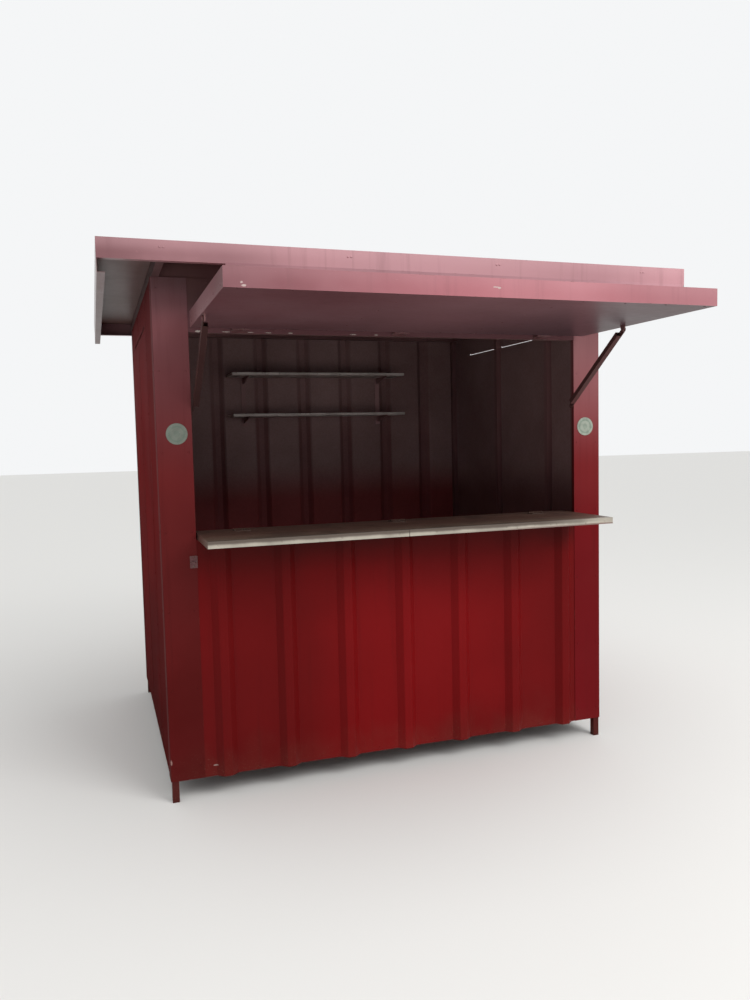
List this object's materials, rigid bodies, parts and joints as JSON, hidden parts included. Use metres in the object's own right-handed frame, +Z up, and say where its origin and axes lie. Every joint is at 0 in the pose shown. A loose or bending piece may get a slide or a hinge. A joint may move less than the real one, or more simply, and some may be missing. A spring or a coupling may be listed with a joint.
{
  "type": "street kiosk",
  "caption": "Street kiosk of red ribbed steel sheet with a flat roof, a raised awning flap on stays and a counter leaf.",
  "frame": {"origin": "middle of the kiosk's outline with its flap raised, on the ground", "axes": "+X to the right along the serving front, +Y from the street to the back, +Z up"},
  "size_m": [2.19, 2.371, 1.954],
  "materials": {
    "red_cladding": "satin",
    "red_trim": "satin",
    "red_frame": "satin",
    "bare_sheet": "matte",
    "worn_steel": "brushed",
    "counter_wood": "matte",
    "counter_edging": "satin",
    "disc_plastic": "matte"
  },
  "bodies": {
    "cabin": {"post_front_left": "red_frame", "post_front_right": "red_frame", "post_back_left": "red_frame", "post_back_right": "red_frame", "base_rails_long": "red_frame", "base_rails_short": "red_frame", "top_rails_long": "red_frame", "top_rails_short": "red_frame", "studs": "red_frame", "wall_studs": "red_frame", "sill_rail": "red_frame", "header_rail": "red_frame", "front_wall": "red_cladding", "left_wall": "red_cladding", "right_wall": "red_cladding", "back_wall": "red_cladding", "header_panel": "red_cladding", "trim_front_left": "red_trim", "trim_front_right": "red_trim", "trim_back_left": "red_trim", "trim_back_right": "red_trim", "roof_sheet": "bare_sheet", "fascia_front": "red_trim", "fascia_back": "red_trim", "fascia_left": "bare_sheet", "fascia_right": "bare_sheet", "rafters": "red_frame", "sill_board": "counter_wood", "shelves": "counter_wood", "shelf_uprights": "red_frame", "discs": "disc_plastic", "lock_staple": "worn_steel", "header_hinges": "worn_steel", "sill_hinges": "worn_steel", "stay_pegs": "red_frame"},
    "flap": {"flap_lining": "red_cladding", "flap_bars_long": "red_frame", "flap_bars_short": "red_frame", "flap_sheet": "red_cladding", "flap_edge": "red_cladding", "flap_ends": "bare_sheet", "flap_hinges": "worn_steel", "flap_lugs": "red_frame"},
    "counter": {"counter_leaf": "counter_wood", "counter_edge": "counter_edging", "leaf_hinges": "worn_steel"},
    "stay_left": {"stay_left": "red_frame"},
    "stay_right": {"stay_right": "red_frame"}
  },
  "joints": [
    {"name": "flap_hinge", "type": "hinge", "parent": "cabin", "child": "flap", "pos_m": [0.012, -0.4005, 1.722], "axis": [1, 0, 0], "range_deg": [0, 90]},
    {"name": "counter_hinge", "type": "hinge", "parent": "cabin", "child": "counter", "pos_m": [0, -0.3445, 0.993], "axis": [-1, 0, 0], "range_deg": [0, 90]},
    {"name": "stay_left_pin", "type": "hinge", "parent": "flap", "child": "stay_left", "pos_m": [-0.7835, -0.7285, 1.707], "axis": [-1, 0, 0], "range_deg": [0, 54]},
    {"name": "stay_right_pin", "type": "hinge", "parent": "flap", "child": "stay_right", "pos_m": [0.7835, -0.7285, 1.707], "axis": [-1, 0, 0], "range_deg": [0, 54]}
  ],
  "couplings": [
    {"joint": "counter_hinge", "follows": "flap_hinge", "ratio": 1}
  ]
}
